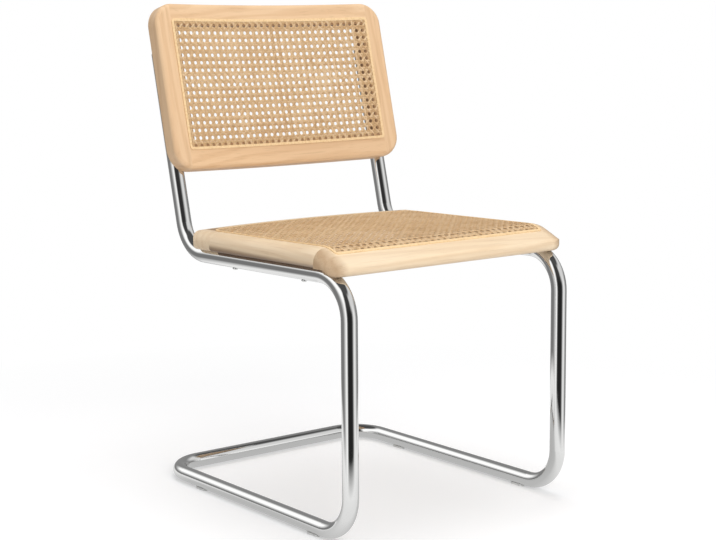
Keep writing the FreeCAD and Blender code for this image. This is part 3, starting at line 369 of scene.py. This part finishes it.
def cane_material():
    """Split cane: each strand has its own tone, with long fibres and a waxy sheen."""
    material, tree, shader = new_material("split_cane")
    place = add_node(tree, "ShaderNodeTexCoord")
    tone = add_node(tree, "ShaderNodeAttribute", attribute_name="strand_tone")
    base = blend_ramp(tree, tone.outputs["Fac"], [
        (0.0, paint(198, 160, 114)), (0.35, paint(219, 187, 143)), (0.7, paint(230, 202, 162)),
        (1.0, paint(208, 172, 126))])
    fibres = add_node(tree, "ShaderNodeTexNoise",
                      {"Vector": place.outputs["Object"], "Scale": 420, "Detail": 4,
                       "Roughness": 0.6})
    marks = add_node(tree, "ShaderNodeTexNoise",
                     {"Vector": place.outputs["Object"], "Scale": 60, "Detail": 3})
    worn = blend_colours(tree, calculate(tree, "MULTIPLY", fibres.outputs["Fac"], 0.30), base,
                         paint(176, 128, 76), "MULTIPLY")
    stain = blend_ramp(tree, marks.outputs["Fac"], [(0.60, 0.0), (0.78, 1.0)])
    final = blend_colours(tree, calculate(tree, "MULTIPLY", stain, 0.35), worn,
                          paint(150, 100, 55))
    tree.links.new(final, shader.inputs["Base Color"])
    rough = blend_ramp(tree, fibres.outputs["Fac"], [(0.3, 0.38), (0.7, 0.55)])
    tree.links.new(rough, shader.inputs["Roughness"])
    bump = add_node(tree, "ShaderNodeBump", {"Height": fibres.outputs["Fac"], "Strength": 0.25,
                                             "Distance": 0.0002})
    tree.links.new(bump.outputs[0], shader.inputs["Normal"])
    return material


def reed_material():
    """The round reed that wedges the cane: paler than the cane, with fine lengthwise fibres."""
    material, tree, shader = new_material("pressed_reed")
    place = add_node(tree, "ShaderNodeTexCoord")
    fibres = add_node(tree, "ShaderNodeTexNoise",
                      {"Vector": place.outputs["Object"], "Scale": 260, "Detail": 4})
    colour = blend_ramp(tree, fibres.outputs["Fac"],
                        [(0.3, paint(226, 190, 140)), (0.6, paint(240, 210, 164)),
                         (0.8, paint(214, 172, 120))])
    tree.links.new(colour, shader.inputs["Base Color"])
    rough = blend_ramp(tree, fibres.outputs["Fac"], [(0.3, 0.42), (0.8, 0.6)])
    tree.links.new(rough, shader.inputs["Roughness"])
    bump = add_node(tree, "ShaderNodeBump", {"Height": fibres.outputs["Fac"], "Strength": 0.3,
                                             "Distance": 0.0002})
    tree.links.new(bump.outputs[0], shader.inputs["Normal"])
    return material


def plain_material(name, colour, other, roughness, metallic=0.0):
    """A moulded or turned small part with a slightly uneven surface."""
    material, tree, shader = new_material(name)
    place = add_node(tree, "ShaderNodeTexCoord")
    uneven = add_node(tree, "ShaderNodeTexNoise",
                      {"Vector": place.outputs["Object"], "Scale": 300, "Detail": 3})
    tone = blend_ramp(tree, uneven.outputs["Fac"], [(0.35, colour), (0.7, other)])
    tree.links.new(tone, shader.inputs["Base Color"])
    rough = blend_ramp(tree, uneven.outputs["Fac"], [(0.3, roughness), (0.8, roughness + 0.12)])
    tree.links.new(rough, shader.inputs["Roughness"])
    shader.inputs["Metallic"].default_value = metallic
    return material


def dress(material, *names):
    """Put a material on each of the model's pieces by name."""
    for name in names:
        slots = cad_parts[name].data.materials
        slots.clear()
        slots.append(material)


def seat_run(along):
    """Distance along the rails, height and lean of the seat's top, a distance along its curve."""
    tangent = CROWN_RADIUS * math.tan(FALL_ANGLE / 2)
    slope_length = (FALL_CORNER - CANE_FRONT) / math.cos(FALL_ANGLE) - tangent
    arc_length = CROWN_RADIUS * FALL_ANGLE
    if along < slope_length:
        run = CANE_FRONT + along * math.cos(FALL_ANGLE)
        return run, SEAT_TOP - (FALL_CORNER - run) * math.tan(FALL_ANGLE), FALL_ANGLE
    if along < slope_length + arc_length:
        lean = FALL_ANGLE - (along - slope_length) / CROWN_RADIUS
        run = FALL_CORNER + tangent - CROWN_RADIUS * math.sin(lean)
        return run, SEAT_TOP - CROWN_RADIUS * (1 - math.cos(lean)), lean
    return FALL_CORNER + tangent + along - slope_length - arc_length, SEAT_TOP, 0.0


def seat_point(across, along, rise):
    """A point over the seat's cane, from the distance along its curve behind the front edge."""
    run, height, lean = seat_run(along)
    run -= rise * math.sin(lean)
    height += rise * math.cos(lean)
    return Vector((across, FOOT_Y + run * math.cos(SEAT_SLOPE) + height * math.sin(SEAT_SLOPE),
                   RAIL_HEIGHT - run * math.sin(SEAT_SLOPE) + height * math.cos(SEAT_SLOPE)))


def corner_depth(first, second, radius):
    """Depth inside two edges that meet in a round corner."""
    if first < radius and second < radius:
        return radius - math.hypot(radius - first, radius - second)
    return min(first, second)


def seat_depth(across, along):
    """How far a place lies inside the outline of the seat's cane, with its bowed rear."""
    run = seat_run(along)[0]
    side = CANE_HALF - abs(across)
    bow = REAR_BOW - (SEAT_REAR - CANE_REAR)
    rear = bow - math.hypot(across, run - SEAT_REAR + REAR_BOW)
    return min(corner_depth(side, run - CANE_FRONT, CANE_CORNER),
               corner_depth(side, rear, CANE_REAR_CORNER))


def back_point(across, along, rise):
    """A point in front of the back's hollow face, from the distance along its curve."""
    rear_radius = BACK_RADIUS + BACK_THICKNESS
    centre = -BACK_SIDE_OFFSET - math.sqrt(rear_radius ** 2 - (TRACK / 2) ** 2)
    angle = across / BACK_RADIUS
    radius = BACK_RADIUS - rise
    side = radius * math.sin(angle)
    depth = centre + radius * math.cos(angle)
    height = BACK_CANE_LOW + along
    return Vector((side,
                   CROSS_Y + depth * math.cos(BACK_LEAN) + height * math.sin(BACK_LEAN),
                   CROSS_Z - depth * math.sin(BACK_LEAN) + height * math.cos(BACK_LEAN)))


def back_depth(across, along):
    """How far a place lies inside the outline of the back's cane."""
    return corner_depth(BACK_CANE_HALF - abs(across),
                        min(along, BACK_CANE_HIGH - BACK_CANE_LOW - along), CANE_CORNER)


def pair_height(distance, over_first):
    """Height of a paired strand that passes over one and under the other of a crossing pair."""
    place = ((distance / MESH_PITCH + 0.5) % 1.0 - 0.5) * MESH_PITCH
    if abs(place) <= PAIR_HALF_GAP:
        level = -place / PAIR_HALF_GAP
    else:
        reach = (MESH_PITCH / 2 - abs(place)) / (MESH_PITCH / 2 - PAIR_HALF_GAP)
        level = -math.copysign(reach, place)
    return STRAND_SWING * level * (1 if over_first else -1)


def diagonal_height(distance, rising):
    """Height of a diagonal strand, over the pairs one way and under the pairs the other way."""
    wave = math.cos(2 * math.pi * distance / MESH_PITCH)
    return DIAGONAL_SWING * wave * (1 if rising else -1)


def find_edge(depth, start, heading, inside, outside):
    """Where a straight line crosses the panel's outline, between a place inside and one outside."""
    for _ in range(EDGE_HALVINGS):
        half = (inside + outside) / 2
        spot = start + heading * half
        if depth(spot.x, spot.y) > SPLINE_OVERLAP:
            inside = half
        else:
            outside = half
    return inside


def lay_strand(mesh, tone_layer, panel, start, heading, step, width, height, tone):
    """One flat strand along a straight line over a panel, ended under the spline.

    The panel is its outline's depth, its surface and how far it reaches; the height follows the
    distance along the strand.
    """
    depth, surface, reach = panel
    count = int(reach / step)
    inner = [i for i in range(-count, count + 1)
             if depth(*(start + heading * (i * step))) > SPLINE_OVERLAP]
    if len(inner) < 2:
        return
    first = find_edge(depth, start, heading, inner[0] * step, (inner[0] - 1) * step)
    last = find_edge(depth, start, heading, inner[-1] * step, (inner[-1] + 1) * step)
    segments = inner[-1] - inner[0] + 2
    made = bmesh.ops.create_grid(mesh, x_segments=1, y_segments=segments, size=0.5)
    aside = Vector((-heading.y, heading.x)) * width
    for vert in made["verts"]:
        index = round((vert.co.y + 0.5) * segments)
        distance = min(max((inner[0] - 1 + index) * step, first), last)
        spot = start + heading * distance + aside * vert.co.x
        vert[tone_layer] = tone
        vert.co = surface(spot.x, spot.y, WEAVE_LIFT + height(distance))


def weave_layer(name, kind, panel, length, material):
    """One layer of strands over a panel: the pairs both ways, or both diagonals."""
    mesh = bmesh.new()
    tone_layer = mesh.verts.layers.float.new("strand_tone")
    lines = int(panel[2] / MESH_PITCH) + 1
    tones = [(number * TONE_STEP + TONE_WAVE * math.sin(number * TONE_TURN)) % 1.0
             for number in range(10 * lines)]
    middle = MESH_PITCH * round(length / 2 / MESH_PITCH)
    step = MESH_PITCH / STEPS_PER_PITCH
    slant = math.sqrt(0.5)
    for line in range(-lines, lines + 1):
        for turn in (-1, 1):
            if kind == "pairs":
                aside = line * MESH_PITCH + turn * PAIR_HALF_GAP
                lay_strand(mesh, tone_layer, panel, Vector((aside, middle)), Vector((0, 1)),
                           step, STRAND_WIDTH,
                           lambda distance: pair_height(distance, turn < 0), tones.pop())
                lay_strand(mesh, tone_layer, panel, Vector((0, middle + aside)), Vector((1, 0)),
                           step, STRAND_WIDTH,
                           lambda distance: pair_height(distance, turn > 0), tones.pop())
            else:
                start = Vector((0, middle + (line + 0.5) * MESH_PITCH))
                lay_strand(mesh, tone_layer, panel, start, Vector((slant, -slant * turn)),
                           MESH_PITCH / slant / STEPS_PER_PITCH, DIAGONAL_WIDTH,
                           lambda distance: diagonal_height(distance * slant, turn < 0),
                           tones.pop())
    data = bpy.data.meshes.new(name)
    mesh.to_mesh(data)
    mesh.free()
    data.polygons.foreach_set("use_smooth", [True] * len(data.polygons))
    data.materials.append(material)
    piece = bpy.data.objects.new(name, data)
    bpy.context.collection.objects.link(piece)
    wall = piece.modifiers.new("thickness", "SOLIDIFY")
    wall.thickness = STRAND_THICKNESS
    wall.offset = 0
    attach(piece, "root")
    return piece


def weave_panels(material):
    """The seat's and the back's woven cane, in two layers of strands each."""
    back_length = BACK_CANE_HIGH - BACK_CANE_LOW
    seat_length = CANE_REAR - CANE_FRONT
    for node, panel, length in (
            ("seat_cane", (seat_depth, seat_point, seat_length + CANE_HALF), seat_length),
            ("back_cane", (back_depth, back_point, back_length + BACK_CANE_HALF), back_length)):
        for kind in ("pairs", "diagonals"):
            piece = weave_layer("%s_%s" % (node, kind), kind, panel, length, material)
            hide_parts(node)


def floor_material():
    """A white studio floor that keeps the chair's soft shadow and fades to the backdrop's white; in
    the chrome it is a glow with painted shadow near the chair.
    """
    material, tree, shader = new_material("studio_floor")
    tree.nodes.remove(shader)
    output = tree.nodes["Material Output"]
    path = add_node(tree, "ShaderNodeLightPath")
    place = add_node(tree, "ShaderNodeTexCoord")
    matte = add_node(tree, "ShaderNodeBsdfDiffuse", {"Color": grey(0.75)})
    glow = add_node(tree, "ShaderNodeEmission", {"Color": grey(1), "Strength": 0.30})
    near = add_node(tree, "ShaderNodeAddShader", {0: matte.outputs[0], 1: glow.outputs[0]})
    white = add_node(tree, "ShaderNodeEmission", {"Color": grey(1), "Strength": 1.0})
    distance = add_node(tree, "ShaderNodeVectorMath", {0: place.outputs["Object"]},
                        operation="LENGTH")
    fade = blend_ramp(tree, calculate(tree, "MULTIPLY", distance.outputs["Value"], 0.5),
                      [(0.30, 0.0), (0.62, 1.0)])
    seen = add_node(tree, "ShaderNodeMixShader", {0: fade, 1: near.outputs[0],
                                                  2: white.outputs[0]})
    close = blend_ramp(tree, distance.outputs["Value"], [(0.62, 1.0), (0.86, 0.0)])
    clear = add_node(tree, "ShaderNodeBsdfTransparent", {"Color": grey(1)})
    # Painted shadow: the floor, as the chrome mirrors it, glows darker near the chair's middle and
    # paler farther out.
    mirrored_floor_shade = blend_ramp(tree, distance.outputs["Value"],
                        [(0.0, 0.50), (0.29, 0.56), (0.37, 0.84), (0.60, 0.92)])
    pale = add_node(tree, "ShaderNodeEmission", {"Color": mirrored_floor_shade, "Strength": 1.0})
    mirrored = add_node(tree, "ShaderNodeMixShader", {0: close, 1: clear.outputs[0],
                                                      2: pale.outputs[0]})
    lit = add_node(tree, "ShaderNodeBsdfDiffuse", {"Color": grey(0.75)})
    unseen = add_node(tree, "ShaderNodeMixShader", {0: path.outputs["Is Glossy Ray"],
                                                    1: lit.outputs[0], 2: mirrored.outputs[0]})
    final = add_node(tree, "ShaderNodeMixShader", {0: path.outputs["Is Camera Ray"],
                                                   1: unseen.outputs[0], 2: seen.outputs[0]})
    tree.links.new(final.outputs[0], output.inputs["Surface"])
    return material


def set_floor():
    """The studio floor, far past what the camera sees."""
    mesh = bmesh.new()
    bmesh.ops.create_grid(mesh, x_segments=1, y_segments=1, size=FLOOR_REACH)
    data = bpy.data.meshes.new("studio_floor")
    mesh.to_mesh(data)
    mesh.free()
    data.materials.append(floor_material())
    floor = bpy.data.objects.new("studio_floor", data)
    bpy.context.collection.objects.link(floor)


def set_studio():
    """White beyond the floor, soft light all round, and the panels that the chrome mirrors.

    Mirrored directions are sorted by their turn away from the camera and by their height: panels
    along the horizon, others hung above them, a dark ceiling and a pale floor.
    """
    world = bpy.data.worlds.new("studio")
    bpy.context.scene.world = world
    world.use_nodes = True
    tree = world.node_tree
    background = tree.nodes["Background"]
    place = add_node(tree, "ShaderNodeTexCoord")
    path = add_node(tree, "ShaderNodeLightPath")
    direction = place.outputs["Generated"]
    towards = Vector((math.sin(CAMERA_AZIMUTH), -math.cos(CAMERA_AZIMUTH), 0))
    rightwards = Vector((math.cos(CAMERA_AZIMUTH), math.sin(CAMERA_AZIMUTH), 0))
    front = add_node(tree, "ShaderNodeVectorMath", {0: direction, 1: towards},
                     operation="DOT_PRODUCT").outputs["Value"]
    side = add_node(tree, "ShaderNodeVectorMath", {0: direction, 1: rightwards},
                    operation="DOT_PRODUCT").outputs["Value"]
    height = add_node(tree, "ShaderNodeSeparateXYZ", {0: direction}).outputs["Z"]
    turn = calculate(tree, "ARCTAN2", side, front)
    around = calculate(tree, "MULTIPLY_ADD", turn, 0.5 / math.pi, 0.5)
    panels = blend_ramp(tree, around, [
        (0.00, 0.28), (0.12, 0.24), (0.20, 0.20), (0.26, 0.22), (0.31, 0.52), (0.35, 0.90),
        (0.395, 1.15), (0.425, 0.15), (0.455, 0.02), (0.575, 0.02), (0.612, 0.09), (0.65, 0.66),
        (0.695, 1.00), (0.742, 0.70), (0.80, 0.24), (0.90, 0.26), (1.00, 0.28)])
    level = calculate(tree, "MULTIPLY_ADD", height, 0.5, 0.5)
    hung = blend_ramp(tree, around, [
        (0.00, 0.26), (0.07, 0.26), (0.13, 1.20), (0.40, 1.20), (0.44, 0.05), (0.57, 0.05),
        (0.63, 0.75), (0.86, 0.75), (0.93, 0.26), (1.00, 0.26)])
    above = blend_ramp(tree, level, [(0.575, 0.0), (0.72, 1.0)])
    overhead = blend_ramp(tree, level, [(0.84, 0.0), (0.90, 1.0)])
    upper = blend_colours(tree, overhead, hung, grey(0.08))
    below = blend_ramp(tree, level, [(0.27, 1.0), (0.35, 0.0)])
    studio = blend_colours(tree, below, blend_colours(tree, above, panels, upper),
                           grey(0.58))
    seen = calculate(tree, "MAXIMUM", path.outputs["Is Camera Ray"],
                     path.outputs["Is Transmission Ray"])
    ambient = blend_colours(tree, path.outputs["Is Glossy Ray"], (0.50, 0.50, 0.51, 1), studio)
    final = blend_colours(tree, seen, ambient, grey(1))
    tree.links.new(final, background.inputs["Color"])
    background.inputs["Strength"].default_value = 1.0


def set_lamp(name, place, size, power):
    """A square soft lamp that faces the chair's middle and isn't seen in the chrome."""
    lamp = bpy.data.lights.new(name, "AREA")
    lamp.shape = "SQUARE"
    lamp.size = size
    lamp.energy = power
    item = bpy.data.objects.new(name, lamp)
    heading = (CHAIR_MIDDLE - Vector(place)).normalized()
    item.rotation_euler = heading.to_track_quat("-Z", "Y").to_euler()
    item.location = place
    item.visible_glossy = False
    bpy.context.collection.objects.link(item)


set_camera()
set_floor()
set_studio()
set_lamp("key_lamp", (-0.9, -2.7, 1.5), size=1.6, power=50)
set_lamp("top_lamp", (0.2, 0.2, 2.9), size=1.8, power=34)

WOOD_GROUPS = (build_grain(), build_cane_shade())
QUARTER = math.pi / 2
ACROSS, ALONG, UPRIGHT = (0, -QUARTER, 0), (QUARTER, 0, 0), (BACK_LEAN, 0, 0)
# The seat's wood is painted paler than the back's, as painted light for the brighter light that
# falls on the seat.
SEAT_WOOD_PAINTED_PALER = (paint(238, 220, 192), paint(216, 188, 154), 0.32)
BACK_WOOD = (paint(232, 202, 166), paint(210, 172, 132), 0.38)

# Painted shade on the wood under the cane, inside the spline: its turn, half width, both ends along
# the panel, and the level that its face lies beyond.
BACK_FOOT = CROSS_Y * math.sin(BACK_LEAN) + CROSS_Z * math.cos(BACK_LEAN)
BACK_MIDDLE = CROSS_Y * math.cos(BACK_LEAN) - CROSS_Z * math.sin(BACK_LEAN) - BACK_COVER_DEPTH
SEAT_CANE_SHADE = (ALONG, CANE_HALF - RING, FOOT_Y + CANE_FRONT + RING,
              FOOT_Y + CANE_REAR - RING, -(RAIL_HEIGHT + SEAT_COVER_RISE))
BACK_CANE_SHADE = (UPRIGHT, BACK_CANE_HALF - RING, BACK_FOOT + BACK_CANE_LOW + RING,
              BACK_FOOT + BACK_CANE_HIGH - RING, BACK_MIDDLE)
# The front rail gets painted shade at its ends; the side rails get painted shade just above the
# tube.
dress(wood_material("seat_wood_front", WOOD_GROUPS, ACROSS, SEAT_WOOD_PAINTED_PALER, SEAT_CANE_SHADE, ends=0.9),
      "seat_front_rail")
dress(wood_material("seat_wood_rear", WOOD_GROUPS, ACROSS, SEAT_WOOD_PAINTED_PALER, SEAT_CANE_SHADE),
      "seat_rear_rail")
dress(wood_material("seat_wood_along", WOOD_GROUPS, ALONG, SEAT_WOOD_PAINTED_PALER, SEAT_CANE_SHADE, foot_shade=0.9),
      "seat_left_rail", "seat_right_rail", "seat_dowels")
dress(wood_material("back_wood_across", WOOD_GROUPS, ACROSS, BACK_WOOD, BACK_CANE_SHADE),
      "back_top_rail", "back_bottom_rail", "back_dowels")
dress(wood_material("back_wood_upright", WOOD_GROUPS, UPRIGHT, BACK_WOOD, BACK_CANE_SHADE),
      "back_left_stile", "back_right_stile")
dress(chrome_material(), "left_side_tube", "right_side_tube", "rear_base_tube", "tube_end_plugs",
      "seat_screws")
dress(reed_material(), "seat_spline", "back_spline")
dress(plain_material("plain_steel", paint(170, 170, 172), paint(190, 190, 192), 0.3, 1.0),
      "base_joint_spigots", "base_joint_screws", "back_screws")
dress(plain_material("clear_glide", paint(226, 226, 224), paint(238, 238, 236), 0.4),
      "floor_glides")
weave_panels(cane_material())

bpy.context.scene.view_settings.view_transform = "Standard"
